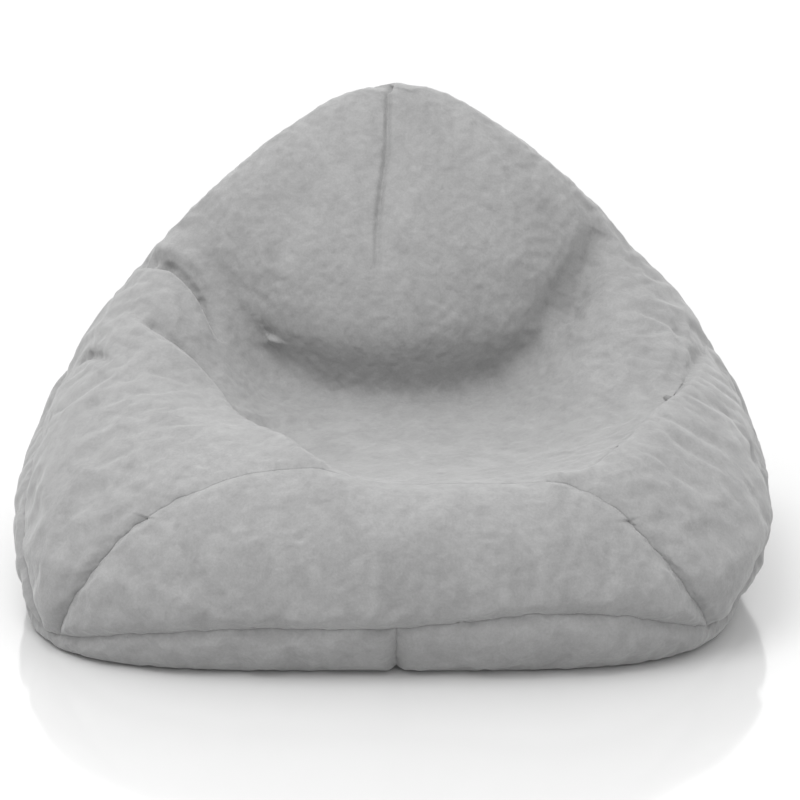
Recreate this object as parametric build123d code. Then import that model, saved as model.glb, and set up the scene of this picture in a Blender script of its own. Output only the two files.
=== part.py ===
"""Bean bag chair: a sewn plush cover over a bead-filled liner, with a zip in the base of each.

Frame: origin on the floor under the middle of the chair, +X to the sitter's left, +Y to the rear, +Z up.
The cover, the liner and the fill are one form at different depths below its surface.
"""

import os
from functools import lru_cache

import numpy as np
from build123d import *

# ---------------------------------------------------------------- driving dimensions, mm
WIDTH = 1100
DEPTH = 950
HEIGHT = 682
WIDEST_AT = 120  # height of the widest level
SEAT_HEIGHT = 232  # lowest part of the seat
BASE_SEAM = 60  # height of the seam round the base

# Depth below the outside of the pile
COVER_INSIDE = 5
LINER_OUTSIDE = 6.5
LINER_INSIDE = 8
FILL_OUTSIDE = 10

# The pocket over the zips, which the fill and the liner leave free
POCKET_HALF = 24
POCKET_TOP = 32
POCKET_LENGTH = 620
LINER_THICK = LINER_INSIDE - LINER_OUTSIDE
FILL_POCKET_GROW = LINER_THICK + 2
FILL_POCKET_TOP = 39

# Zips: coil, tape and slider
COVER_ZIP_LENGTH = 560
COVER_ZIP_HEIGHT = 9.4
LINER_ZIP_LENGTH = 360
LINER_ZIP_HEIGHT = POCKET_TOP - 0.4
ZIP_SLOT_HALF = 12  # half the gap between the base panels
HEM_WIDTH = 4  # turned-in edge that carries the tape
LINER_SLOT_HALF = 6.5
TAPE_THICK = 0.8
TAPE_WIDTH = 15
COVER_SLOT_END = 20  # slot beyond the coil at each end, so that the puller swings free
LINER_SLOT_END = 10
COIL_HALF = 1.2  # half the coil's thickness
COIL_WIDTH = 2.6  # from the zip's middle to the tape
COIL_GAP = 0.05
STOP = 3
SLIDER_REAR = 7  # slider behind the coil's closed end
SLIDER_FRONT = 4  # slider beyond it
SLIDER_HALF = 5.5
PLATE_IN = 1.5  # slider plates, from the zip's mid-plane
PLATE_OUT = 2.7
RIM_IN = 4.2
TAPE_CLEARANCE = 0.3
CROWN_HALF = 1.2
CROWN_DEEP = 2.6
PIN_RADIUS = 0.7
PULLER_HALF = 3.2
PULLER_LENGTH = 26
PULLER_THICK = 1.4
PULLER_DROOP = 6  # degrees that the puller hangs down in the base recess


# ---------------------------------------------------------------- the form
def smooth_min(a, b, blend):
    share = np.clip(0.5 + 0.5 * (b - a) / blend, 0, 1)
    return b + (a - b) * share - blend * share * (1 - share)


def smooth_max(a, b, blend):
    return -smooth_min(-a, -b, blend)


def outline(at, points):
    """Smooth curve through a few (position, value) points."""
    x, y = (np.array(v, float) for v in zip(*points))
    slope = np.gradient(y, x)
    i = np.clip(np.searchsorted(x, at) - 1, 0, len(x) - 2)
    step = x[i + 1] - x[i]
    s = np.clip((at - x[i]) / step, 0, 1)
    ends = (2 * s**3 - 3 * s**2 + 1) * y[i] + (3 * s**2 - 2 * s**3) * y[i + 1]
    return ends + step * ((s**3 - 2 * s**2 + s) * slope[i] + (s**3 - s**2) * slope[i + 1])


# Side view of the plump bag, as (height, y), before the seat is pressed in
FRONT_LINE = [
    (0, -430), (60, -468), (140, -475), (200, -455), (250, -400),
    (300, -290), (380, -120), (460, 0), (560, 85), (680, 170),
]
REAR_LINE = [(0, 425), (60, 465), (140, 475), (250, 455), (400, 395), (550, 315), (640, 250), (680, 210)]
# Side view of the backrest's front, as (height, y)
BACKREST_LINE = [(150, 50), (262, 30), (330, 5), (400, 20), (480, 65), (570, 115), (680, 180), (750, 220)]


def half_width(z):
    above = np.clip((z - WIDEST_AT) / (HEIGHT - WIDEST_AT), 0, 1)
    below = np.clip((WIDEST_AT - z) / WIDEST_AT, 0, 1.3)
    share = np.where(z > WIDEST_AT, np.maximum(1 - above**1.4, 1e-4) ** 0.7, 1 - 0.09 * below**2.2)
    return WIDTH / 2 * share


def plump_bag(x, y, z):
    """Distance outside the plump bag, about: its level sections are rounded squares that lean to the rear."""
    side = half_width(z)
    front, rear = outline(z, FRONT_LINE), outline(z, REAR_LINE)
    middle = np.clip(20 + 0.25 * np.clip(z, 0, HEIGHT), front + 10, rear - 10)
    reach = np.where(y < middle, middle - front, rear - middle)
    square = 2.35 + 0.75 * np.clip(1 - z / 280, 0, 1.2)
    level = (np.abs(x / side) ** square + np.abs((y - middle) / reach) ** square) ** (1 / square)
    return (level - 1) * np.minimum(side, reach)


def seat_height(x, y):
    """The seat is lowest in its middle and rises to the arms, the rear and the front edge."""
    out = np.abs(x)
    level = SEAT_HEIGHT + 75 * np.clip((out - 120) / 300, 0, 1.4) ** 1.8
    slope = 0.16 + 0.62 * np.exp(-(((out - 300) / 90) ** 2)) + 0.25 * np.clip((out - 300) / 100, 0, 1)
    rear = 0.5 * (y + 110 + np.sqrt((y + 110) ** 2 + 50**2))
    front = 0.5 * (-220 - y + np.sqrt((y + 220) ** 2 + 60**2))
    return level + slope * rear + 0.09 * front


def backrest_front(x, z):
    sweep = 150 * np.clip(np.abs(x) / 300, 0, 1.5) ** 2.2 * np.clip((600 - z) / 300, 0, 1)
    return outline(z, BACKREST_LINE) + sweep


def bag(x, y, z):
    """Below zero inside the chair: the plump bag, less what lies over the seat and before the backrest."""
    pressed = smooth_min(0.9 * (z - seat_height(x, y)), 0.9 * (backrest_front(x, z) - y), 30)
    whole = smooth_max(plump_bag(x, y, z), pressed, 50)
    return smooth_max(whole, -z - 40, 20)  # closed below the floor, where the solids are cut flat


# Upright sections of the solids, as shares of the half width
STATIONS = [0, 0.18, 0.36, 0.53, 0.68, 0.81, 0.91, 0.97, 0.9985]
RAYS = 32


@lru_cache
def surface(share):
    """Where rays in one upright plane meet the surface: their start, ways and lengths, and the normals."""
    angle = np.arange(RAYS) * 2 * np.pi / RAYS
    way = np.stack([0 * angle, np.cos(angle), np.sin(angle)])
    start = np.array([share * WIDTH / 2, 100 - 50 * share**2, WIDEST_AT])[:, None]
    inside = np.zeros(RAYS)
    walking = np.ones(RAYS, bool)
    while walking.any():
        walking &= bag(*(start + way * (inside + 2))) < 0
        inside = np.where(walking, inside + 2, inside)
    outside = inside + 2
    for _ in range(30):
        middle = (inside + outside) / 2
        is_in = bag(*(start + way * middle)) < 0
        inside, outside = np.where(is_in, middle, inside), np.where(is_in, outside, middle)
    p = start + way * inside
    slope = np.array([bag(*(p + d)) - bag(*(p - d)) for d in 0.5 * np.eye(3)[:, :, None]])
    return start, way, inside, slope / np.linalg.norm(slope, axis=0)


def section(share, inset):
    """The form's closed outline in one upright plane, inset from the surface."""
    start, way, length, normal = surface(share)
    facing = (normal * way).sum(axis=0)
    shorter = inset * (1 - share * normal[0]) / facing
    points = start + way * (length - shorter)
    points[0] = share * (WIDTH / 2 - inset)
    return Face(Wire(Spline(*[tuple(map(float, p)) for p in points.T], periodic=True)))


def form(inset):
    """The whole chair as one solid, inset from its surface, and flat underneath."""
    shares = [-s for s in reversed(STATIONS[1:])] + STATIONS
    whole = loft([section(s, inset) for s in shares])
    return whole - block((-WIDTH, WIDTH), (-DEPTH, DEPTH), (-200, inset))


# ---------------------------------------------------------------- small helpers
def block(x, y, z):
    """Box between three (low, high) pairs."""
    size = [high - low for low, high in (x, y, z)]
    middle = [(high + low) / 2 for low, high in (x, y, z)]
    return Pos(*middle) * Box(*size)


def mirrored(shape):
    return mirror(shape, about=Plane.YZ)


def solids(*shapes):
    """Separate solids kept in one node."""
    return Compound([s for shape in shapes for s in shape.solids()])


def save(name, shape):
    os.makedirs("parts", exist_ok=True)
    shape.label = name
    export_step(shape, f"parts/{name}.step")


# ---------------------------------------------------------------- where the cover is cut into panels
FRONT_PANEL_HALF = 448
FRONT_PANEL_REAR = -365  # the front panel ends on the seat's front edge
RIGHT_HALF = ((-WIDTH, 0), (-DEPTH, DEPTH), (-10, HEIGHT + 50))


def front_panel_space():
    """What lies before the front panel's arched seam."""
    arch = [(FRONT_PANEL_HALF, BASE_SEAM), (380, 137), (310, 196), (250, 235), (205, 290)]
    with BuildPart() as space:
        with BuildSketch(Plane.XZ.offset(-FRONT_PANEL_REAR)):
            with BuildLine():
                Spline(*arch)
                Line(arch[-1], (-arch[-1][0], arch[-1][1]))
                Spline(*[(-x, z) for x, z in reversed(arch)])
                Line((-FRONT_PANEL_HALF, BASE_SEAM), (FRONT_PANEL_HALF, BASE_SEAM))
            make_face()
        extrude(amount=DEPTH / 2)
    return space.part


def rear_space():
    """What lies behind the side seams, which run from the front corners to the top of the back."""
    seam = [
        (-305, BASE_SEAM), (-200, 130), (-78, 186), (30, 225),
        (120, 300), (180, 450), (218, 600), (235, HEIGHT + 40),
    ]
    with BuildPart() as space:
        with BuildSketch(Plane.YZ):
            with BuildLine():
                Spline(*seam)
                Polyline(seam[-1], (DEPTH, HEIGHT + 40), (DEPTH, BASE_SEAM), seam[0])
            make_face()
        extrude(amount=WIDTH, both=True)
    return space.part


def dart():
    """The dart in the backrest: a slit that narrows from the top of the back."""
    with BuildPart() as slit:
        with BuildSketch(Plane.XZ.offset(100)):
            with BuildLine():
                Polyline((-1.5, HEIGHT + 20), (1.5, HEIGHT + 20), (0, 425), close=True)
            make_face()
        extrude(amount=-300)
    return slit.part


# ---------------------------------------------------------------- cover, liner and fill
def cover():
    shell = form(0) - form(COVER_INSIDE)
    low = block((-WIDTH, WIDTH), (-DEPTH, DEPTH), (-10, BASE_SEAM))
    upper = shell - low
    front_space, back_space = front_panel_space(), rear_space()
    base = shell & low
    along = (-COVER_ZIP_LENGTH / 2 - COVER_SLOT_END, COVER_ZIP_LENGTH / 2 + COVER_SLOT_END)
    slot = block((-ZIP_SLOT_HALF, ZIP_SLOT_HALF), along, (-1, COVER_INSIDE + 1))
    hem_top = COVER_ZIP_HEIGHT - TAPE_THICK / 2
    hem = block((-ZIP_SLOT_HALF - HEM_WIDTH, -ZIP_SLOT_HALF), along, (COVER_INSIDE - 1, hem_top))
    base_right = ((base & block(*RIGHT_HALF)) - slot) + hem
    rear = upper & back_space
    rear_right = rear & block(*RIGHT_HALF)
    save("cover_front_panel", (upper - back_space) & front_space)
    save("cover_seat_and_back_panel", upper - back_space - front_space - dart())
    save("cover_rear_panel_right", rear_right)
    save("cover_rear_panel_left", mirrored(rear_right))
    save("cover_base_panel_right", base_right)
    save("cover_base_panel_left", mirrored(base_right))


def pocket(grow, top):
    """The free space over the zips, grown sideways."""
    half, end = POCKET_HALF + grow, POCKET_LENGTH / 2 + grow
    return block((-half, half), (-end, end), (-10, top))


def liner():
    outside = form(LINER_OUTSIDE) - pocket(0, POCKET_TOP)
    inside = form(LINER_INSIDE) - pocket(LINER_THICK, POCKET_TOP + LINER_THICK)
    shell = outside - inside
    low = block((-WIDTH, WIDTH), (-DEPTH, DEPTH), (-10, BASE_SEAM))
    along = (-LINER_ZIP_LENGTH / 2 - LINER_SLOT_END, LINER_ZIP_LENGTH / 2 + LINER_SLOT_END)
    slot = block((-LINER_SLOT_HALF, LINER_SLOT_HALF), along, (POCKET_TOP - 1, POCKET_TOP + 5))
    base_right = (shell & low & block(*RIGHT_HALF)) - slot
    save("liner_upper", shell - low)
    save("liner_base_right", base_right)
    save("liner_base_left", mirrored(base_right))


def fill():
    save("bead_fill", form(FILL_OUTSIDE) - pocket(FILL_POCKET_GROW, FILL_POCKET_TOP))


# ---------------------------------------------------------------- zips
def coil(length, height):
    """Right-hand coil of a closed zip, as a plain strip up to the middle."""
    deep = (height - COIL_HALF, height + COIL_HALF)
    return block((-COIL_WIDTH, -COIL_GAP), (-length / 2, length / 2), deep)


def zip_parts(prefix, length, height, tape_end):
    right = coil(length, height)
    save(f"{prefix}_zip_coil_right", right)
    save(f"{prefix}_zip_coil_left", mirrored(right))
    tape = block(
        (-COIL_WIDTH - TAPE_WIDTH, -COIL_WIDTH),
        (-length / 2 - tape_end, length / 2 + tape_end),
        (height - TAPE_THICK / 2, height + TAPE_THICK / 2),
    )
    save(f"{prefix}_zip_tape_right", tape)
    save(f"{prefix}_zip_tape_left", mirrored(tape))
    save(f"{prefix}_zip_stops", stops(length, height))


def stops(length, height):
    """Two top stops beyond the slider, and one bottom stop across both tapes."""
    near = length / 2 + SLIDER_FRONT + 0.3
    deep = (height - COIL_HALF - 0.4, height + COIL_HALF + 0.4)
    gap = block((-20, -COIL_WIDTH), (-length, length), (height - TAPE_THICK / 2, height + TAPE_THICK / 2))
    top = block((-COIL_WIDTH - 1.6, -0.8), (near, near + STOP), deep) - gap
    bottom = block((-COIL_WIDTH - 1.6, COIL_WIDTH + 1.6), (-length / 2 - 0.2 - STOP, -length / 2 - 0.2), deep)
    bottom = bottom - gap - mirrored(gap)
    return solids(top, mirrored(top), bottom)


def slider(length, height):
    """Slider at the closed end: two plates, rims beside the coil, the post between the tapes, and a crown."""
    rear, front = length / 2 - SLIDER_REAR, length / 2 + SLIDER_FRONT
    tape_gap = TAPE_THICK / 2 + TAPE_CLEARANCE
    body = block((-SLIDER_HALF, SLIDER_HALF), (rear, front), (height - PLATE_OUT, height - PLATE_IN))
    body += block((-SLIDER_HALF, SLIDER_HALF), (rear, front), (height + PLATE_IN, height + PLATE_OUT))
    for low, high in ((height - PLATE_IN, height - tape_gap), (height + tape_gap, height + PLATE_IN)):
        rim = block((-SLIDER_HALF, -RIM_IN), (rear, front), (low, high))
        body += rim
        body += mirrored(rim)
    body += block((-0.7, 0.7), (length / 2 + 0.6, front), (height - PLATE_IN, height + PLATE_IN))
    taper = Pos(SLIDER_HALF, rear, height) * Rot(0, 0, 20) * Box(3, 9, 20)
    body = body - taper - mirrored(taper)
    return body + crown(length, height)


def crown_place(length, height):
    """Middle of the hinge pin, in the crown under the slider."""
    return length / 2 - SLIDER_REAR + 5, height - PLATE_OUT - PIN_RADIUS - 0.35


def crown(length, height):
    """The loop that a puller hangs in, or a paper clip goes through."""
    y, z = crown_place(length, height)
    under = height - PLATE_OUT
    arch = block((-CROWN_HALF, CROWN_HALF), (y - 3.2, y + 3.2), (under - CROWN_DEEP, under))
    hole = block((-5, 5), (y - 2, y + 2), (z - PIN_RADIUS - 0.2, under))
    return arch - hole


def puller(length, height):
    """Pin, two arms and tab, hanging a little below level."""
    y, z = crown_place(length, height)
    pin = Pos(0, y, z) * Rot(0, 90, 0) * Cylinder(PIN_RADIUS, 2 * PULLER_HALF)
    arm = block((-PULLER_HALF, -CROWN_HALF - 0.4), (y - 7, y), (z - PIN_RADIUS, z + PIN_RADIUS))
    thick = (z - PULLER_THICK / 2, z + PULLER_THICK / 2)
    tab = block((-PULLER_HALF, PULLER_HALF), (y - PULLER_LENGTH, y - 5), thick)
    tab = fillet(tab.edges().filter_by(Axis.Z), 1.5)
    whole = pin + arm + mirrored(arm) + tab
    return whole.rotate(Axis((0, y, z), (1, 0, 0)), PULLER_DROOP)


def care_label():
    """Blank label sewn in beside the zip, flat between cover and liner."""
    return block((30, 62), (-260, -200), (COVER_INSIDE, COVER_INSIDE + 0.5))


cover()
liner()
fill()
zip_parts("cover", COVER_ZIP_LENGTH, COVER_ZIP_HEIGHT, COVER_SLOT_END + 4)
zip_parts("liner", LINER_ZIP_LENGTH, LINER_ZIP_HEIGHT, LINER_SLOT_END + 4)
save("cover_zip_slider", slider(COVER_ZIP_LENGTH, COVER_ZIP_HEIGHT))
save("cover_zip_puller", puller(COVER_ZIP_LENGTH, COVER_ZIP_HEIGHT))
save("liner_zip_slider", slider(LINER_ZIP_LENGTH, LINER_ZIP_HEIGHT))
save("care_label", care_label())
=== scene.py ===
"""Bean bag chair: sewn plush cover, zipped liner and bead fill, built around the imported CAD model.

The cover is meshed from one smooth form, cut into its panels along the seams, relaxed as cloth, subdivided,
given its folds, and then split into one piece for each panel. The liner and the fill are the same form with
its folds, moved inwards. Metres; +X to the sitter's left, +Y to the rear, +Z up.
"""

import math

import bmesh
import bpy
import numpy as np
import openvdb
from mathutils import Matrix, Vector
from mathutils.bvhtree import BVHTree
from mathutils.kdtree import KDTree


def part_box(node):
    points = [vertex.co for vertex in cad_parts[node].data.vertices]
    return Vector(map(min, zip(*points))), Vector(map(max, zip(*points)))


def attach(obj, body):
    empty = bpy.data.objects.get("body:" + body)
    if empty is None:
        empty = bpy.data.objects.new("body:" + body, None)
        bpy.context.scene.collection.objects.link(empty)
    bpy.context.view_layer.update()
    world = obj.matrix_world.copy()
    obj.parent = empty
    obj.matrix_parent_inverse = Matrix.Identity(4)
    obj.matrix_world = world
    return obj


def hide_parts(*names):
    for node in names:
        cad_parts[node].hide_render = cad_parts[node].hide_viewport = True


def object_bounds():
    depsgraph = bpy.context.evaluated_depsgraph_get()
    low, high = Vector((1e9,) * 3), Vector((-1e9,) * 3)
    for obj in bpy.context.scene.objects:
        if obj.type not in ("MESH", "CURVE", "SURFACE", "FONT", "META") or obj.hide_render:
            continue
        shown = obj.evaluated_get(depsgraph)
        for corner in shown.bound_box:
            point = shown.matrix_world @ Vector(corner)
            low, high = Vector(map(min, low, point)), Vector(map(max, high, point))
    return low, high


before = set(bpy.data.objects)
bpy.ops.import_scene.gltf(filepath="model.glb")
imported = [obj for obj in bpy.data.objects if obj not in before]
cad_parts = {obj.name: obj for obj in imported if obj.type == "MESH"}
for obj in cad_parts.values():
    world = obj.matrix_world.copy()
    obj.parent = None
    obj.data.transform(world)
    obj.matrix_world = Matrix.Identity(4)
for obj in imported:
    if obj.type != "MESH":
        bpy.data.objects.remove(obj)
CAD_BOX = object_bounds()
HALF_WIDTH = (CAD_BOX[1].x - CAD_BOX[0].x) / 2 - 0.008
HEIGHT = CAD_BOX[1].z

WIDEST_AT = 0.12
GRID_LOW = np.array([-0.6013, -0.5227, -0.0411])  # the corner of the space that the form is meshed in
GRID_SIZE = np.array([1.21, 1.05, 0.78])
VOXEL = 0.0095
MERGE = 0.003  # a cut moves the mesh's own points onto it when they are nearer than this
LINER_INSET = 0.026
FILL_INSET = 0.031
LINER_POCKET = (0.024, 0.310, 0.0325)  # half width, half length and height of the hollow over the zips
FILL_POCKET = (0.0275, 0.3135, 0.039)
LINER_SEAM = 0.06  # height of the seam round the liner's base
SLOT_HALF = 0.012  # half width of the cover's opening over its zip
SLOT_END = 0.30
SEAM_DEPTH = 0.0065
SEAM_WIDTH = 0.0065
HEM_DROP = 0.008  # how far a panel's turned-in edge runs inside the seam
SIM_FRAMES = 18
SIM_CAP = 0.009  # the furthest that the cloth may move a point
PATH_POINTS = 200
SPIKE = 0.0035  # a point further than this from its neighbours' middle is a fault in the mesh

PANELS = [
    "cover_seat_and_back_panel", "cover_front_panel", "cover_rear_panel_left", "cover_rear_panel_right",
    "cover_base_panel_left", "cover_base_panel_right",
]
SEAT, FRONT, REAR_LEFT, REAR_RIGHT, BASE_LEFT, BASE_RIGHT = range(6)


# ---------------------------------------------------------------- smooth functions
def smooth_min(a, b, blend):
    share = np.clip(0.5 + 0.5 * (b - a) / blend, 0, 1)
    return b + (a - b) * share - blend * share * (1 - share)


def smooth_max(a, b, blend):
    return -smooth_min(-a, -b, blend)


def bump(x, middle, width):
    return np.exp(-(((x - middle) / width) ** 2))


def outline(at, points):
    """Smooth curve through a few (position, value) points."""
    x, y = (np.array(v, float) for v in zip(*points))
    slope = np.gradient(y, x)
    i = np.clip(np.searchsorted(x, at) - 1, 0, len(x) - 2)
    step = x[i + 1] - x[i]
    s = np.clip((at - x[i]) / step, 0, 1)
    ends = (2 * s**3 - 3 * s**2 + 1) * y[i] + (3 * s**2 - 2 * s**3) * y[i + 1]
    return ends + step * ((s**3 - 2 * s**2 + s) * slope[i] + (s**3 - s**2) * slope[i + 1])


def smooth_noise(p, size, seed):
    """Seeded smooth noise from about -1 to 1, with lumps of the given size (one number, or one for each axis)."""
    lattice = np.random.default_rng(seed).uniform(-1, 1, (32, 32, 32))
    q = p / np.asarray(size, float) + 100
    base = np.floor(q).astype(int)
    s = q - base
    s = s * s * (3 - 2 * s)
    total = 0
    for corner in np.ndindex(2, 2, 2):
        share = np.prod(np.where(corner, s, 1 - s), axis=-1)
        total = total + share * lattice[tuple(((base + corner) % 32).T)]
    return total


# ---------------------------------------------------------------- the form
FRONT_LINE = [
    (0, -0.44), (0.06, -0.470), (0.14, -0.474), (0.20, -0.452), (0.25, -0.40),
    (0.30, -0.29), (0.38, -0.12), (0.46, 0.0), (0.56, 0.085), (0.68, 0.165),
]
REAR_LINE = [
    (0, 0.43), (0.06, 0.465), (0.14, 0.472), (0.25, 0.455),
    (0.40, 0.395), (0.55, 0.315), (0.64, 0.25), (0.68, 0.21),
]
BACKREST_LINE = [
    (0.15, 0.05), (0.262, 0.03), (0.33, 0.005), (0.40, 0.02),
    (0.48, 0.058), (0.57, 0.105), (0.68, 0.175), (0.75, 0.22),
]
# the edge of the seat's bowl on the picture's left and right: (y, distance from the middle)
LEFT_RIM = [(-0.40, 0.07), (-0.32, 0.127), (-0.20, 0.20), (-0.10, 0.25), (-0.06, 0.29), (0.05, 0.33)]
RIGHT_RIM = [(-0.36, 0.216), (-0.33, 0.257), (-0.27, 0.30), (-0.19, 0.35), (-0.115, 0.40), (-0.04, 0.436)]


def half_width(z):
    above = np.clip((z - WIDEST_AT) / (HEIGHT + 0.004 - WIDEST_AT), 0, 1)
    below = np.clip((WIDEST_AT - z) / WIDEST_AT, 0, 1.3)
    share = np.where(z > WIDEST_AT, np.maximum(1 - above**1.4, 1e-4) ** 0.68, 1 - 0.085 * below**1.3)
    return HALF_WIDTH * share + 0.014 * bump(z, HEIGHT - 0.01, 0.03)


def plump_bag(x, y, z):
    x = x + 0.024 * np.clip((0.13 - z) / 0.13, 0, 1)
    side = half_width(z)
    front, rear = outline(z, FRONT_LINE), outline(z, REAR_LINE)
    middle = np.clip(0.02 + 0.25 * np.clip(z, 0, HEIGHT), front + 0.01, rear - 0.01)
    reach = np.where(y < middle, middle - front, rear - middle)
    square = 2.35 + 1.9 * np.clip(1 - z / 0.28, 0, 1.2) ** 1.6
    level = (np.abs(x / side) ** square + np.abs((y - middle) / reach) ** square) ** (1 / square)
    return (level - 1) * np.minimum(side, reach)


def seat_height(x, y):
    out = np.abs(x + 0.005)
    rim = np.where(x < 0, outline(y, LEFT_RIM), outline(y, RIGHT_RIM))
    wall = np.clip(out / rim, 0, 1) ** 2.6
    step = np.clip((out - rim + 0.020) / 0.034, 0, 1)
    bowl = np.where(x < 0, 0.052 * wall, 0.012 * wall + 0.042 * step**2 * (3 - 2 * step))
    level = 0.211 + bowl + 0.080 * np.clip((out - 0.16) / 0.26, 0, 1.4) ** 1.8
    slope = 0.16 + 0.62 * bump(out, 0.30, 0.09) + 0.25 * np.clip((out - 0.3) / 0.1, 0, 1)
    rear = 0.5 * (y + 0.11 + np.sqrt((y + 0.11) ** 2 + 0.05**2))
    front = 0.5 * (-0.22 - y + np.sqrt((y + 0.22) ** 2 + 0.06**2))
    return level + slope * rear + 0.17 * front


def backrest_front(x, z):
    sweep = 0.15 * np.clip(np.abs(x + 0.01) / 0.30, 0, 1.5) ** 2.2 * np.clip((0.60 - z) / 0.3, 0, 1)
    return outline(z, BACKREST_LINE) + sweep


def bag(p):
    """Below zero inside the chair."""
    x, y, z = p[..., 0], p[..., 1], p[..., 2]
    blend = 0.018 + 0.035 * np.clip((np.abs(x) - 0.08) / 0.10, 0, 1)
    pressed = smooth_min(0.9 * (z - seat_height(x, y)), 0.9 * (backrest_front(x, z) - y), blend)
    return smooth_max(smooth_max(plump_bag(x, y, z), pressed, 0.05), -z, 0.016)


def meshed_form():
    """The form as quads about one voxel wide."""
    count = (GRID_SIZE / VOXEL).astype(int)
    axes = [GRID_LOW[i] + VOXEL * np.arange(count[i]) for i in range(3)]
    value = bag(np.stack(np.meshgrid(*axes, indexing="ij"), -1))
    grid = openvdb.FloatGrid(3 * VOXEL)
    grid.copyFromArray(np.clip(value, -3 * VOXEL, 3 * VOXEL).astype(np.float32))
    grid.transform = openvdb.createLinearTransform(voxelSize=VOXEL)
    points, quads = grid.convertToQuads(isovalue=0.0)
    return points + GRID_LOW, quads


# ---------------------------------------------------------------- mesh helpers
def new_mesh(name, points, faces):
    mesh = bpy.data.meshes.new(name)
    mesh.from_pydata([tuple(p) for p in points], [], [tuple(f) for f in faces])
    mesh.update()
    return mesh


def new_piece(name, mesh):
    piece = bpy.data.objects.new(name, mesh)
    bpy.context.scene.collection.objects.link(piece)
    mesh.polygons.foreach_set("use_smooth", np.full(len(mesh.polygons), True))
    return piece


def points_of(mesh, normals=False):
    data = np.empty(len(mesh.vertices) * 3)
    if normals:
        mesh.vertex_normals.foreach_get("vector", data)
    else:
        mesh.vertices.foreach_get("co", data)
    return data.reshape(-1, 3)


def set_points(mesh, points):
    mesh.vertices.foreach_set("co", np.ascontiguousarray(points, float).ravel())
    mesh.update()


def labels_of(mesh):
    labels = np.empty(len(mesh.polygons), int)
    mesh.polygons.foreach_get("material_index", labels)
    return labels


def cut(bm, line, where):
    """Cuts the faces where line(p) crosses zero and where(p) holds at both ends of an edge."""
    bm.verts.index_update()
    p = np.array([v.co for v in bm.verts])
    value, use = line(p), where(p)
    new = {}  # a dictionary keeps its order, so that each run gives the same mesh
    for edge in list(bm.edges):
        a, b = edge.verts[0].index, edge.verts[1].index
        if use[a] and use[b] and value[a] * value[b] < 0:
            share = min(max(value[a] / (value[a] - value[b]), 0.05), 0.95)
            new[bmesh.utils.edge_split(edge, edge.verts[0], share)[1]] = True
    for face in dict.fromkeys(f for v in new for f in v.link_faces):
        ends = [v for v in face.verts if v in new]
        if len(ends) == 2 and not any(e.other_vert(ends[0]) is ends[1] for e in ends[0].link_edges):
            bmesh.utils.face_split(face, ends[0], ends[1])
    around = list(dict.fromkeys([*new, *(e.other_vert(v) for v in new for e in v.link_edges)]))
    close = bmesh.ops.find_doubles(bm, verts=around, keep_verts=list(new), dist=MERGE)["targetmap"]
    bmesh.ops.weld_verts(bm, targetmap=close)


def subdivided(mesh, levels):
    """A Catmull-Clark subdivision of the mesh, as a new mesh."""
    piece = new_piece("work", mesh)
    modifier = piece.modifiers.new("subdivide", "SUBSURF")
    modifier.levels = modifier.render_levels = levels
    evaluated = piece.evaluated_get(bpy.context.evaluated_depsgraph_get())
    result = bpy.data.meshes.new_from_object(evaluated)
    bpy.data.objects.remove(piece)
    return result


# ---------------------------------------------------------------- seams
def base_seam(p):
    """Above zero over the seam round the base, which dips at the front corners."""
    x, y = p[:, 0], p[:, 1]
    front = outline(x, [
        (-0.47, 0.016), (-0.40, 0.038), (-0.29, 0.060), (-0.17, 0.069), (-0.02, 0.070), (0.08, 0.080),
        (0.2, 0.091), (0.29, 0.083), (0.36, 0.062), (0.43, 0.032), (0.48, 0.016),
    ])
    rest = 0.045 + 0 * x
    share = np.clip((-0.22 - y) / 0.12, 0, 1)
    return p[:, 2] - (share * front + (1 - share) * rest)


def front_seam(p):
    """Below zero on the front panel: an arch on the front, closed along the seat's front edge."""
    x, y, z = p.T
    arch = outline(x, [
        (-0.475, 0.0), (-0.452, 0.045), (-0.417, 0.103), (-0.347, 0.189), (-0.288, 0.223), (-0.242, 0.243),
        (-0.17, 0.285), (0.15, 0.29), (0.228, 0.243), (0.266, 0.227), (0.305, 0.201), (0.345, 0.161),
        (0.386, 0.103), (0.425, 0.035), (0.45, -0.02),
    ])
    return smooth_max(z - arch, 0.9 * (y + 0.368), 0.02)


def side_seam(p):
    """Above zero behind the seams from the front corners to the top of the back."""
    line = outline(p[:, 2], [
        (0.0, -0.36), (0.03, -0.335), (0.07, -0.30), (0.12, -0.22), (0.18, -0.09),
        (0.23, 0.04), (0.30, 0.12), (0.45, 0.18), (0.60, 0.218), (0.72, 0.235),
    ])
    inwards = np.clip(half_width(p[:, 2]) - 0.04 - np.abs(p[:, 0]), 0, 0.08)
    below_top = 0.08 * np.clip((0.60 - p[:, 2]) / 0.12, 0, 1)
    behind = np.minimum(inwards, below_top * np.clip((p[:, 2] - 0.2) / 0.05, 0, 1))
    return p[:, 1] - line - behind


def across(p):
    return p[:, 0] - 0.0007


def above_base(p):
    return base_seam(p) > -0.02


def label(p):
    """Which panel each point is on."""
    left = across(p) > 0
    rear = np.where(left, REAR_LEFT, REAR_RIGHT)
    upper = np.where(side_seam(p) > 0, rear, np.where(front_seam(p) < 0, FRONT, SEAT))
    return np.where(base_seam(p) < 0, np.where(left, BASE_LEFT, BASE_RIGHT), upper)


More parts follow.
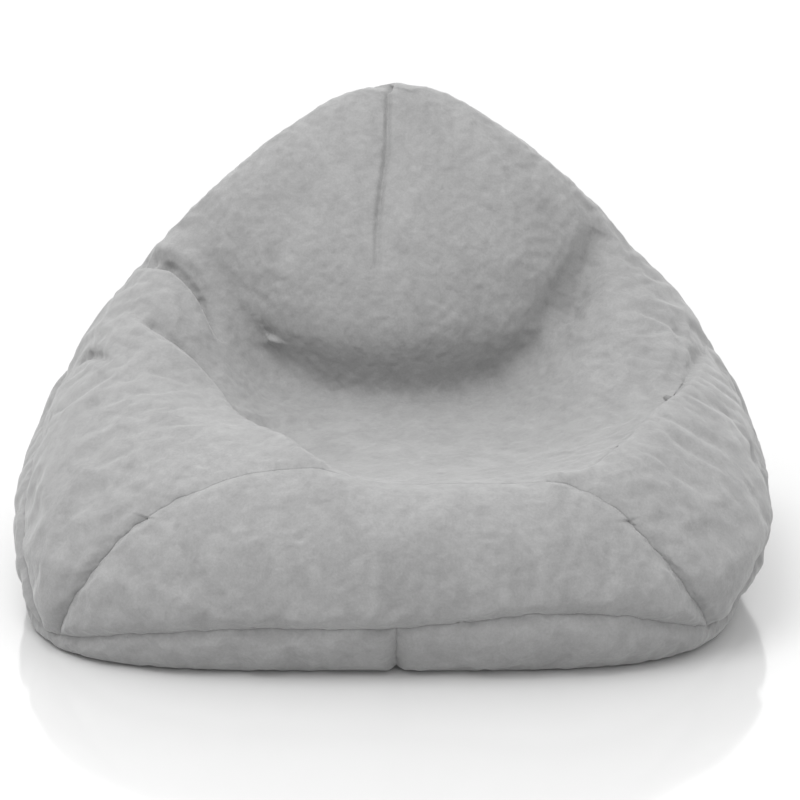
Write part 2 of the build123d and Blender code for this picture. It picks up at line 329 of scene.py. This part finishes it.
def cut_into_panels(mesh):
    bm = bmesh.new()
    bm.from_mesh(mesh)
    cut(bm, base_seam, lambda p: np.full(len(p), True))
    cut(bm, side_seam, above_base)
    cut(bm, front_seam, lambda p: above_base(p) & (side_seam(p) < 0.02) & (p[:, 1] < -0.2))
    cut(bm, across, lambda p: (side_seam(p) > -0.02) | (base_seam(p) < 0.02))
    middles = np.array([f.calc_center_median() for f in bm.faces])
    for face, index in zip(bm.faces, label(middles)):
        face.material_index = int(index)
    for face in bm.faces:
        around = [f.material_index for e in face.edges for f in e.link_faces if f is not face]
        most = max(set(around), key=around.count)
        if around.count(most) >= 3 or face.material_index not in around:
            face.material_index = most
    bm.to_mesh(mesh)
    bm.free()


def seam_points(mesh):
    """Points on the edges between two panels."""
    labels = labels_of(mesh)
    faces = np.repeat(labels, [p.loop_total for p in mesh.polygons])
    edges = np.empty(len(mesh.loops), int)
    mesh.loops.foreach_get("edge_index", edges)
    low, high = np.full(len(mesh.edges), 99), np.full(len(mesh.edges), -1)
    np.minimum.at(low, edges, faces)
    np.maximum.at(high, edges, faces)
    ends = np.empty(len(mesh.edges) * 2, int)
    mesh.edges.foreach_get("vertices", ends)
    return np.unique(ends.reshape(-1, 2)[low != high])


def smooth_seams(mesh, rounds=20):
    """Evens out each seam line, leaving its ends where seams meet."""
    labels = labels_of(mesh)
    sides = {}
    for face in mesh.polygons:
        for key in face.edge_keys:
            sides.setdefault(key, set()).add(labels[face.index])
    beside = {}
    for (a, b), found in sides.items():
        if len(found) > 1:
            beside.setdefault(a, []).append(b)
            beside.setdefault(b, []).append(a)
    line = [(v, *ends) for v, ends in beside.items() if len(ends) == 2]
    middle, first, second = np.array(line).T
    points = points_of(mesh)
    for _ in range(rounds):
        points[middle] = 0.5 * points[middle] + 0.25 * (points[first] + points[second])
    set_points(mesh, points)
    bm = bmesh.new()
    bm.from_mesh(mesh)
    bm.verts.ensure_lookup_table()
    around = dict.fromkeys(e.other_vert(bm.verts[v]) for v in beside for e in bm.verts[v].link_edges)
    loose = [v for v in around if v.index not in beside and v.co.z > 0.01]
    for _ in range(6):
        bmesh.ops.smooth_vert(bm, verts=loose, factor=0.5, use_axis_x=True, use_axis_y=True, use_axis_z=True)
    bm.to_mesh(mesh)
    bm.free()


def distance_to(points, targets, reach):
    """Distance from each point to the nearest target, up to reach."""
    tree = KDTree(len(targets))
    for i, q in enumerate(targets):
        tree.insert(q, i)
    tree.balance()
    cells = {tuple(c) for c in np.floor(targets / reach).astype(int)}
    near = {(x + i, y + j, z + k) for x, y, z in cells for i in (-1, 0, 1) for j in (-1, 0, 1) for k in (-1, 0, 1)}
    result = np.full(len(points), reach)
    for i, cell in enumerate(map(tuple, np.floor(points / reach).astype(int))):
        if cell in near:
            result[i] = min(reach, tree.find(points[i])[2])
    return result


# ---------------------------------------------------------------- folds
RIGHT_ARM = [
    (0.462, 0.01, 0.325), (0.436, -0.04, 0.316), (0.40, -0.115, 0.30), (0.35, -0.19, 0.282),
    (0.302, -0.27, 0.267), (0.257, -0.33, 0.255), (0.216, -0.362, 0.246),
]
LEFT_FOLD = [
    (-0.39, 0.135, 0.435), (-0.36, 0.105, 0.43), (-0.324, 0.084, 0.418),
    (-0.294, 0.066, 0.398), (-0.27, 0.045, 0.362), (-0.25, 0.018, 0.325),
]
LEFT_ARM_HIGH = [(-0.361, -0.004, 0.358), (-0.308, -0.04, 0.327), (-0.258, -0.06, 0.291)]
LEFT_ARM_LOW = [
    (-0.34, -0.03, 0.34), (-0.293, -0.062, 0.306), (-0.248, -0.103, 0.267),
    (-0.201, -0.195, 0.244), (-0.127, -0.317, 0.243), (-0.073, -0.357, 0.246),
]
SEAT_WELL = [(-0.20, -0.08, 0.24), (-0.14, -0.16, 0.22), (-0.06, -0.22, 0.215)]
RIGHT_FOLD = [(0.242, 0.062, 0.348), (0.264, 0.08, 0.389), (0.287, 0.105, 0.432), (0.30, 0.13, 0.47)]
LEFT_SIDE = [(-0.475, 0.02, 0.305), (-0.441, -0.014, 0.32), (-0.398, -0.072, 0.317)]
RIGHT_SIDE = [(0.36, 0.03, 0.385), (0.40, 0.02, 0.36), (0.44, 0.004, 0.33)]
DART = [
    (-0.009, 0.19, 0.69), (-0.011, 0.183, 0.669), (-0.013, 0.131, 0.589),
    (-0.021, 0.098, 0.535), (-0.027, 0.055, 0.47), (-0.024, 0.02, 0.405),
]

# path, depth, width, height of the lip beside it, and which side the lip is on
BROAD_FOLDS = [
    (RIGHT_ARM, 0.008, 0.050, 0.004, 1),
    (LEFT_FOLD, 0.018, 0.022, 0.008, 0),
    (LEFT_ARM_HIGH, 0.014, 0.024, 0.005, -1),
    (SEAT_WELL, 0.014, 0.055, 0.0, 0),
    (LEFT_ARM_LOW, 0.008, 0.030, 0.006, -1),
    (RIGHT_FOLD, 0.016, 0.026, 0.0, 0),
    (LEFT_SIDE, 0.007, 0.016, 0.003, 0),
    (DART, 0.006, 0.030, 0.0, 0),
]
CREASES = [
    (RIGHT_ARM, 0.008, 0.014, 0.002, 1),
    (LEFT_FOLD, 0.009, 0.008, 0.003, 0),
    (LEFT_ARM_HIGH, 0.003, 0.007, 0.001, -1),
    (LEFT_ARM_LOW, 0.003, 0.010, 0.001, -1),
    (RIGHT_FOLD, 0.005, 0.008, 0.0, 0),
    (LEFT_SIDE, 0.004, 0.007, 0.001, 0),
    (RIGHT_SIDE, 0.005, 0.008, 0.0, 0),
    (DART, 0.008, 0.0045, 0.0, 0),
]


def surface_tree(mesh, points):
    return BVHTree.FromPolygons(points.tolist(), [tuple(p.vertices) for p in mesh.polygons])


def evened(mesh, values, rounds):
    """Values at the mesh's points, averaged with those of their neighbours again and again."""
    ends = np.empty(len(mesh.edges) * 2, int)
    mesh.edges.foreach_get("vertices", ends)
    start, end = ends.reshape(-1, 2).T
    count = np.bincount(ends, minlength=len(values))[:, None]
    for _ in range(rounds):
        total = np.zeros_like(values)
        np.add.at(total, start, values[end])
        np.add.at(total, end, values[start])
        values = 0.5 * values + 0.5 * total / count
    return values


def smooth_path(path):
    stops, fine = np.linspace(0, 1, len(path)), np.linspace(0, 1, PATH_POINTS)
    return np.stack([outline(fine, list(zip(stops, axis))) for axis in zip(*path)], -1)


def fold(points, normals, tree, path, depth, width, lip, side):
    """Height of the surface over a fold along the path: a valley, with a lip beside it.

    The normals and the tree are those of an evened surface, so that small wrinkles don't break the fold's line.
    """
    line = np.array([tree.find_nearest(Vector(q))[0] for q in smooth_path(path)])
    for _ in range(20):
        line[1:-1] = 0.5 * line[1:-1] + 0.25 * (line[:-2] + line[2:])
    reach = 3 * width
    near = np.flatnonzero(np.all((points > line.min(0) - reach) & (points < line.max(0) + reach), axis=1))
    away = points[near, None] - line[None]
    nearest = (away**2).sum(-1).argmin(1)
    away = away[np.arange(len(near)), nearest]
    away -= (away * normals[near]).sum(-1, keepdims=True) * normals[near]
    distance = np.linalg.norm(away, axis=1)
    ahead = np.gradient(line, axis=0)[nearest]
    beside = np.sign((away * np.cross(normals[near], ahead)).sum(-1)) * side
    valley = np.where(beside > 0, bump(distance, 0, 0.35 * width), bump(distance, 0, width))
    raised = bump(distance, 0.9 * width, 0.6 * width) * (1 - bump(distance, 0, 0.4 * width)) * (beside >= 0)
    place = nearest / (len(line) - 1)
    ends = np.clip(place / 0.14 + 0.3, 0, 1) * np.clip((1 - place) / 0.35, 0, 1) ** 0.7
    height = np.zeros(len(points))
    height[near] = ends * (lip * raised - depth * valley)
    return height


def folds_height(mesh, folds, rounds):
    """Height of all the folds at each point, and the evened normals."""
    points = points_of(mesh)
    normals = evened(mesh, points_of(mesh, normals=True), rounds)
    normals /= np.linalg.norm(normals, axis=1, keepdims=True)
    tree = surface_tree(mesh, evened(mesh, points, rounds))
    return sum(fold(points, normals, tree, *facts) for facts in folds), normals


def add_folds(mesh, rounds):
    height, normals = folds_height(mesh, BROAD_FOLDS, rounds)
    set_points(mesh, points_of(mesh) + normals * height[:, None])


def relaxed(mesh, held):
    """The mesh after a short cloth simulation, with slightly too much cloth, so that it puckers between seams."""
    piece = new_piece("cloth", mesh.copy())
    group = piece.vertex_groups.new(name="held")
    for level in np.unique(held):
        group.add(np.flatnonzero(held == level).tolist(), float(level), "REPLACE")
    cloth = piece.modifiers.new("cloth", "CLOTH")
    settings = cloth.settings
    settings.quality = 6
    settings.mass = 0.25
    settings.tension_stiffness = settings.compression_stiffness = 25
    settings.shear_stiffness = 12
    settings.bending_stiffness = 1.2
    settings.vertex_group_mass = "held"
    settings.pin_stiffness = 3.0
    settings.shrink_min = -0.03
    settings.use_pressure = True
    settings.uniform_pressure_force = 0.6
    settings.effector_weights.gravity = 0
    cloth.point_cache.frame_start, cloth.point_cache.frame_end = 1, SIM_FRAMES
    for number in range(1, SIM_FRAMES + 1):
        bpy.context.scene.frame_set(number)
    evaluated = piece.evaluated_get(bpy.context.evaluated_depsgraph_get())
    after = points_of(evaluated.data)
    bpy.data.objects.remove(piece)
    bpy.context.scene.frame_set(1)
    before = points_of(mesh)
    move = after - before
    length = np.linalg.norm(move, axis=1, keepdims=True)
    return before + move * np.minimum(1, SIM_CAP / np.maximum(length, 1e-9))


def surface_detail(mesh):
    """Seam valleys with gathers beside them, crisp creases, and the soft unevenness of a bead bag."""
    points, normals = points_of(mesh), points_of(mesh, normals=True)
    seam = distance_to(points, points[seam_points(mesh)], 0.05)
    x, y, z = points.T
    along_edge = bump(x, 0.0, 0.25) ** 0.5 * (y < -0.3) * (z > 0.2)
    tightness = 1 - 0.92 * along_edge
    height = -SEAM_DEPTH * np.exp(-seam / SEAM_WIDTH) - 0.003 * bump(seam, 0, 0.020)
    height *= tightness
    gathers = smooth_noise(points, 0.014, 1) * bump(seam, 0.012, 0.022)
    height += 0.0005 * gathers
    height += 0.0018 * smooth_noise(points, 0.085, 2) + 0.0008 * smooth_noise(points, 0.032, 3)
    height += 0.00035 * smooth_noise(points, 0.010, 4)
    puckers = smooth_noise(points, (0.06, 0.06, 0.020), 5)
    right = bump(x, 0.49, 0.06) * bump(z, 0.20, 0.10) * (y < 0.05)
    left = bump(x, -0.50, 0.05) * bump(z, 0.18, 0.08) * (y < 0.05)
    height += 0.0045 * puckers * right + 0.0025 * puckers * left
    height += folds_height(mesh, CREASES, 24)[0]
    height *= np.clip(z / 0.02, 0.05, 1)
    points = without_spikes(mesh, points + normals * height[:, None])
    points[:, 2] = np.maximum(points[:, 2], 0)
    set_points(mesh, points)


def without_spikes(mesh, points):
    """Moves a point that stands far out from its neighbours back among them."""
    for _ in range(5):
        mean = 2 * evened(mesh, points, 1) - points
        far = np.linalg.norm(points - mean, axis=1) > SPIKE
        points[far] = mean[far]
    return points


def cut_slot(mesh, half, end, top):
    """Opens a rectangle along the middle of the underside."""
    bm = bmesh.new()
    bm.from_mesh(mesh)

    def under(p):
        return (p[:, 2] < top) & (np.abs(p[:, 0]) < half + 0.03) & (np.abs(p[:, 1]) < end + 0.03)

    for side in (-1, 1):
        cut(bm, lambda p: p[:, 0] - side * half, under)
        cut(bm, lambda p: p[:, 1] - side * end, under)
    inside = []
    for face in bm.faces:
        middle = face.calc_center_median()
        if abs(middle.x) < half and abs(middle.y) < end and middle.z < top:
            inside.append(face)
    bmesh.ops.delete(bm, geom=inside, context="FACES")
    bm.to_mesh(mesh)
    bm.free()


def panel_piece(name, points, normals, faces, drop):
    """One panel, with its edge turned in by drop along every seam."""
    used, faces = np.unique(faces, return_inverse=True)
    faces = faces.reshape(-1, 4)
    p, n = points[used], normals[used]
    sides = np.concatenate([faces[:, [i, (i + 1) % 4]] for i in range(4)])
    key = np.sort(sides, axis=1)
    _, first, count = np.unique(key, axis=0, return_index=True, return_counts=True)
    rim = sides[first[count == 1]]
    edge, order = np.unique(rim, return_inverse=True)
    order = order.reshape(-1, 2) + len(p)
    walls = np.column_stack([rim[:, 1], rim[:, 0], order[:, 0], order[:, 1]])
    hem = p[edge] - drop * n[edge]
    hem[:, 2] = np.maximum(hem[:, 2], 0)
    mesh = new_mesh(name, np.concatenate([p, hem]), np.concatenate([faces, walls]))
    return new_piece(name, mesh)


# ---------------------------------------------------------------- cover, liner and fill
def make_cover():
    mesh = new_mesh("form", *meshed_form())
    inner = mesh.copy()
    add_folds(inner, 6)
    cut_into_panels(mesh)
    smooth_seams(mesh)
    points = points_of(mesh)
    seam = distance_to(points, points[seam_points(mesh)], 0.05)
    sat_on = bump(points[:, 0], 0, 0.33) * (side_seam(points) < 0.03) * np.clip((points[:, 2] - 0.08) / 0.06, 0, 1)
    pressed = np.clip(0.5 * sat_on, 0.03, 1)
    folded = distance_to(points, np.concatenate([smooth_path(f[0]) for f in BROAD_FOLDS]), 0.06)
    pressed = np.maximum(pressed, 0.5 * bump(folded, 0, 0.035))
    held = np.round(np.where(seam < 0.004, 1.0, np.clip((0.02 - points[:, 2]) * 30, pressed, 1.0)), 2)
    points = relaxed(mesh, held)
    points[:, 2] = np.maximum(points[:, 2], 0)
    set_points(mesh, points)
    cut_slot(mesh, SLOT_HALF, SLOT_END, 0.01)
    fine = subdivided(mesh, 2)
    smooth_seams(fine, 40)
    add_folds(fine, 50)
    surface_detail(fine)
    points, normals = points_of(fine), points_of(fine, normals=True)
    faces = np.empty(len(fine.loops), int)
    fine.loops.foreach_get("vertex_index", faces)
    faces, labels = faces.reshape(-1, 4), labels_of(fine)
    for number, name in enumerate(PANELS):
        panel = panel_piece(name + "_sewn", points, normals, faces[labels == number], HEM_DROP)
        panel.data.materials.append(plush)
        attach(panel, "chair")
        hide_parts(name)
    return inner


def inset(mesh, depth):
    """A smoothed copy of the closed form, moved inwards."""
    copy = mesh.copy()
    bm = bmesh.new()
    bm.from_mesh(copy)
    bmesh.ops.remove_doubles(bm, verts=bm.verts[:], dist=0.006)
    for _ in range(3):
        bmesh.ops.smooth_vert(bm, verts=bm.verts[:], factor=0.5, use_axis_x=True, use_axis_y=True, use_axis_z=True)
    bm.to_mesh(copy)
    bm.free()
    normals = evened(copy, points_of(copy, normals=True), 8)
    normals /= np.linalg.norm(normals, axis=1, keepdims=True)
    set_points(copy, points_of(copy) - depth * normals)
    return copy


def split_by(mesh, names, choose, material):
    """Makes one piece for each name from the faces that choose() gives its number."""
    bm = bmesh.new()
    bm.from_mesh(mesh)
    bmesh.ops.triangulate(bm, faces=bm.faces[:])
    middles = np.array([f.calc_center_median() for f in bm.faces])
    chosen = choose(middles)
    bm.to_mesh(mesh)
    bm.free()
    points = points_of(mesh)
    faces = np.array([tuple(p.vertices) for p in mesh.polygons])
    for number, name in enumerate(names):
        used, mine = np.unique(faces[chosen == number], return_inverse=True)
        piece = new_piece(name + "_soft", new_mesh(name, points[used], mine.reshape(-1, 3)))
        piece.data.materials.append(material)
        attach(piece, "chair")
        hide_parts(name)


def raise_pocket(mesh, half, end, top):
    """Lifts the underside over the zips, as a pocket."""
    cut_lines(mesh, half, end)
    points = points_of(mesh)
    over = (np.abs(points[:, 0]) < half + 1e-4) & (np.abs(points[:, 1]) < end + 1e-4) & (points[:, 2] < 0.05)
    points[over, 2] = np.maximum(points[over, 2], top)
    set_points(mesh, points)


def cut_lines(mesh, half, end):
    bm = bmesh.new()
    bm.from_mesh(mesh)
    for side in (-1, 1):
        for extra in (0, 0.002):
            cut(bm, lambda p: p[:, 0] - side * (half + extra), lambda p: p[:, 2] < 0.03)
            cut(bm, lambda p: p[:, 1] - side * (end + extra), lambda p: p[:, 2] < 0.03)
    bm.to_mesh(mesh)
    bm.free()


def make_inside(form):
    liner = inset(form, LINER_INSET)
    raise_pocket(liner, *LINER_POCKET)
    bm = bmesh.new()
    bm.from_mesh(liner)
    cut(bm, lambda p: p[:, 2] - LINER_SEAM, lambda p: np.full(len(p), True))
    cut(bm, across, lambda p: p[:, 2] < LINER_SEAM + 0.002)
    bm.to_mesh(liner)
    bm.free()

    def liner_part(p):
        return np.where(p[:, 2] > LINER_SEAM, 0, np.where(across(p) > 0, 1, 2))

    split_by(liner, ["liner_upper", "liner_base_left", "liner_base_right"], liner_part, woven)
    beads = inset(form, FILL_INSET)
    raise_pocket(beads, *FILL_POCKET)
    split_by(beads, ["bead_fill"], lambda p: np.zeros(len(p), int), foam)


# ---------------------------------------------------------------- materials
def material(name, roughness, sheen=0.0):
    """A new node material and its nodes: (material, nodes, links, shader)."""
    made = bpy.data.materials.new(name)
    made.use_nodes = True
    nodes, links = made.node_tree.nodes, made.node_tree.links
    shader = nodes["Principled BSDF"]
    shader.inputs["Roughness"].default_value = roughness
    shader.inputs["Sheen Weight"].default_value = sheen
    shader.inputs["Sheen Roughness"].default_value = 0.45
    shader.inputs["Specular IOR Level"].default_value = 0.25
    return made, nodes, links, shader


def noise_node(nodes, links, place, scale, detail=2.0, roughness=0.5, distortion=0.0):
    node = nodes.new("ShaderNodeTexNoise")
    node.inputs["Scale"].default_value = scale
    node.inputs["Detail"].default_value = detail
    node.inputs["Roughness"].default_value = roughness
    node.inputs["Distortion"].default_value = distortion
    links.new(place, node.inputs["Vector"])
    return node.outputs["Fac"]


def mixed(nodes, links, factor, a, b):
    """A colour ramp between two greys or colours."""
    node = nodes.new("ShaderNodeValToRGB")
    node.color_ramp.elements[0].color = (*a, 1)
    node.color_ramp.elements[1].color = (*b, 1)
    node.color_ramp.elements[0].position, node.color_ramp.elements[1].position = 0.3, 0.7
    links.new(factor, node.inputs["Fac"])
    return node.outputs["Color"]


def blended(nodes, links, a, b, share, mode="MULTIPLY"):
    node = nodes.new("ShaderNodeMix")
    node.data_type, node.blend_type = "RGBA", mode
    node.inputs["Factor"].default_value = share
    links.new(a, node.inputs["A"])
    links.new(b, node.inputs["B"])
    return node.outputs["Result"]


def bumped(nodes, links, shader, heights):
    """Chains bump nodes for (height, strength, distance in metres) into the shader."""
    normal = None
    for height, strength, distance in heights:
        node = nodes.new("ShaderNodeBump")
        node.inputs["Strength"].default_value = strength
        node.inputs["Distance"].default_value = distance
        links.new(height, node.inputs["Height"])
        if normal:
            links.new(normal, node.inputs["Normal"])
        normal = node.outputs["Normal"]
    links.new(normal, shader.inputs["Normal"])


def plush_material():
    """Short grey pile: brushed lighter and darker patches, small tufts and single fibres."""
    made, nodes, links, shader = material("plush", 0.92, sheen=0.35)
    place = nodes.new("ShaderNodeTexCoord").outputs["Object"]
    patches = mixed(nodes, links, noise_node(nodes, links, place, 18, 4, 0.6, 0.8), (0.275,) * 3, (0.325,) * 3)
    brushed = mixed(nodes, links, noise_node(nodes, links, place, 42, 4, 0.6, 1.2), (0.83,) * 3, (1.0,) * 3)
    tufts = mixed(nodes, links, noise_node(nodes, links, place, 330, 3, 0.65), (0.84,) * 3, (1.0,) * 3)
    colour = blended(nodes, links, blended(nodes, links, patches, brushed, 0.75), tufts, 0.7)
    links.new(colour, shader.inputs["Base Color"])
    fibres = noise_node(nodes, links, place, 1100, 2, 0.7)
    clumps = noise_node(nodes, links, place, 190, 3, 0.6, 0.6)
    soft = noise_node(nodes, links, place, 55, 2, 0.5, 0.5)
    bumped(nodes, links, shader, [(soft, 0.25, 0.004), (clumps, 0.35, 0.0016), (fibres, 0.5, 0.0006)])
    return made


def woven_material(name, grey, pitch, roughness=0.8):
    """Plain weave: fine crossed waves."""
    made, nodes, links, shader = material(name, roughness)
    place = nodes.new("ShaderNodeTexCoord").outputs["Object"]
    waves = []
    for direction in ("X", "Y"):
        wave = nodes.new("ShaderNodeTexWave")
        wave.bands_direction = direction
        wave.inputs["Scale"].default_value = 0.314 / pitch
        links.new(place, wave.inputs["Vector"])
        waves.append(wave.outputs["Fac"])
    tone = mixed(nodes, links, noise_node(nodes, links, place, 60, 3), tuple(0.88 * g for g in grey), grey)
    links.new(tone, shader.inputs["Base Color"])
    bumped(nodes, links, shader, [(waves[0], 0.4, pitch / 4), (waves[1], 0.4, pitch / 4)])
    return made


def foam_material():
    """Loose white foam beads about 4 mm across, with painted shade darkening each bead towards its rim, in the gaps
    between beads.
    """
    made, nodes, links, shader = material("foam_beads", 0.6)
    place = nodes.new("ShaderNodeTexCoord").outputs["Object"]
    cells = nodes.new("ShaderNodeTexVoronoi")
    cells.inputs["Scale"].default_value = 240
    links.new(place, cells.inputs["Vector"])
    # painted shade: the bead colour darkens from each bead's middle to its rim, where the gaps between beads lie in
    # shade
    colour = mixed(nodes, links, cells.outputs["Distance"], (0.95, 0.95, 0.94), (0.7, 0.7, 0.69))
    links.new(colour, shader.inputs["Base Color"])
    bumped(nodes, links, shader, [(cells.outputs["Distance"], 0.8, 0.002)])
    return made


def hard_material(name, colour, roughness, metallic=0.0):
    """Moulded nylon or enamelled metal, with fine wear in its gloss."""
    made, nodes, links, shader = material(name, roughness)
    shader.inputs["Metallic"].default_value = metallic
    shader.inputs["Specular IOR Level"].default_value = 0.5
    place = nodes.new("ShaderNodeTexCoord").outputs["Object"]
    wear = noise_node(nodes, links, place, 500, 4, 0.7)
    links.new(mixed(nodes, links, wear, tuple(0.85 * c for c in colour), colour), shader.inputs["Base Color"])
    spread = nodes.new("ShaderNodeMapRange")
    spread.inputs["To Min"].default_value, spread.inputs["To Max"].default_value = roughness - 0.1, roughness + 0.12
    links.new(wear, spread.inputs["Value"])
    links.new(spread.outputs["Result"], shader.inputs["Roughness"])
    bumped(nodes, links, shader, [(wear, 0.1, 0.0002)])
    return made


plush = plush_material()
woven = woven_material("liner_weave", (0.80, 0.80, 0.78), 0.0008)
tape_weave = woven_material("tape_weave", (0.16, 0.16, 0.16), 0.0006)
ribbon = woven_material("label_ribbon", (0.88, 0.88, 0.86), 0.0004, 0.5)
foam = foam_material()
nylon = hard_material("nylon_coil", (0.10, 0.10, 0.10), 0.4)
enamel = hard_material("enamelled_metal", (0.16, 0.16, 0.165), 0.35, 0.6)


# ---------------------------------------------------------------- zips
TURN = 0.0024  # pitch of the sewn coil
WIRE = 0.00042
TURN_POINTS = 12
WIRE_SIDES = 6


def coil_piece(prefix, side):
    """A nylon spiral inside the space of its CAD strip; the two sides' turns alternate."""
    node = f"{prefix}_zip_coil_{side}"
    low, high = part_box(node)
    turns = int((high.y - low.y - 2 * WIRE) / TURN)
    angle = np.linspace(0, 2 * math.pi * turns, turns * TURN_POINTS)
    sign = 1 if side == "left" else -1
    reach = high.x - low.x
    centre_x = sign * (reach / 2 + 0.0001)
    wide, tall = reach / 2 - WIRE + 0.0002, (high.z - low.z) / 2 - WIRE
    along = low.y + 2 * WIRE + TURN * angle / (2 * math.pi) + (0 if sign > 0 else TURN / 2 - WIRE)
    line = np.stack([centre_x + wide * np.cos(angle), along, (low.z + high.z) / 2 + tall * np.sin(angle)], -1)
    ahead = np.gradient(line, axis=0)
    ahead /= np.linalg.norm(ahead, axis=1, keepdims=True)
    out = np.cross(ahead, [0, 1, 0])
    out /= np.linalg.norm(out, axis=1, keepdims=True)
    other = np.cross(ahead, out)
    turn = np.arange(WIRE_SIDES) * 2 * math.pi / WIRE_SIDES
    rings = line[:, None] + WIRE * (np.cos(turn)[:, None] * out[:, None] + np.sin(turn)[:, None] * other[:, None])
    index = np.arange(len(line) * WIRE_SIDES).reshape(len(line), WIRE_SIDES)
    nxt = np.roll(index, -1, axis=1)
    faces = np.stack([index[:-1], nxt[:-1], nxt[1:], index[1:]], -1).reshape(-1, 4)
    piece = new_piece(node + "_spiral", new_mesh(node, rings.reshape(-1, 3), faces))
    piece.data.materials.append(nylon)
    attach(piece, "chair")
    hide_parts(node)


def finish_node(node, made):
    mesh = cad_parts[node].data
    mesh.materials.clear()
    mesh.materials.append(made)


def dress_zips():
    for prefix in ("cover", "liner"):
        for side in ("left", "right"):
            coil_piece(prefix, side)
            finish_node(f"{prefix}_zip_tape_{side}", tape_weave)
        finish_node(f"{prefix}_zip_stops", enamel)
        finish_node(f"{prefix}_zip_slider", enamel)
    finish_node("cover_zip_puller", enamel)
    finish_node("care_label", ribbon)


# ---------------------------------------------------------------- studio
CAMERA_DISTANCE = 3.5
CAMERA_HEIGHT_DEG = 15
LOOK_AT = Vector((0, 0, 0.33))
FOCAL_LENGTH = 108.9
SHIFT = (0.0056, -0.0716)
FLOOR_HALF = 30


def area_light(name, place, size, power):
    light = bpy.data.lights.new(name, "AREA")
    light.size, light.energy = size, power
    lamp = bpy.data.objects.new(name, light)
    bpy.context.scene.collection.objects.link(lamp)
    lamp.location = place
    lamp.rotation_mode = "QUATERNION"
    lamp.rotation_quaternion = (LOOK_AT - lamp.location).to_track_quat("-Z", "Y")


def studio():
    scene = bpy.context.scene
    corners = [(x * FLOOR_HALF, y * FLOOR_HALF, 0) for x, y in ((-1, -1), (1, -1), (1, 1), (-1, 1))]
    floor = new_piece("floor", new_mesh("floor", corners, [(0, 1, 2, 3)]))
    made, _, _, shader = material("floor", 0.10)
    shader.inputs["Base Color"].default_value = (0.60, 0.60, 0.60, 1)
    shader.inputs["Specular IOR Level"].default_value = 1.0
    floor.data.materials.append(made)
    world = bpy.data.worlds.new("studio")
    world.use_nodes = True
    nodes, links = world.node_tree.nodes, world.node_tree.links
    nodes["Background"].inputs["Color"].default_value = (1, 1, 1, 1)
    # brightest overhead and behind the chair
    towards = nodes.new("ShaderNodeVectorMath")
    towards.operation = "DOT_PRODUCT"
    towards.inputs[1].default_value = (0, 0.6, 0.8)
    links.new(nodes.new("ShaderNodeTexCoord").outputs["Generated"], towards.inputs[0])
    glow = nodes.new("ShaderNodeMapRange")
    for key, value in zip(("From Min", "From Max", "To Min", "To Max"), (-0.5, 0.9, 0.58, 1.48)):
        glow.inputs[key].default_value = value
    links.new(towards.outputs["Value"], glow.inputs["Value"])
    links.new(glow.outputs["Result"], nodes["Background"].inputs["Strength"])
    scene.world = world
    area_light("key", (-0.7, -0.9, 2.6), 1.6, 38)
    area_light("front", (0.3, -3.2, 1.1), 2.0, 20)
    angle = math.radians(CAMERA_HEIGHT_DEG)
    data = bpy.data.cameras.new("camera")
    data.sensor_width, data.lens = 36, FOCAL_LENGTH
    data.shift_x, data.shift_y = SHIFT
    camera = bpy.data.objects.new("camera", data)
    scene.collection.objects.link(camera)
    camera.location = LOOK_AT + CAMERA_DISTANCE * Vector((0, -math.cos(angle), math.sin(angle)))
    camera.rotation_mode = "QUATERNION"
    camera.rotation_quaternion = (LOOK_AT - camera.location).to_track_quat("-Z", "Y")
    scene.camera = camera
    scene.view_settings.view_transform = "Standard"


studio()
make_inside(make_cover())
dress_zips()
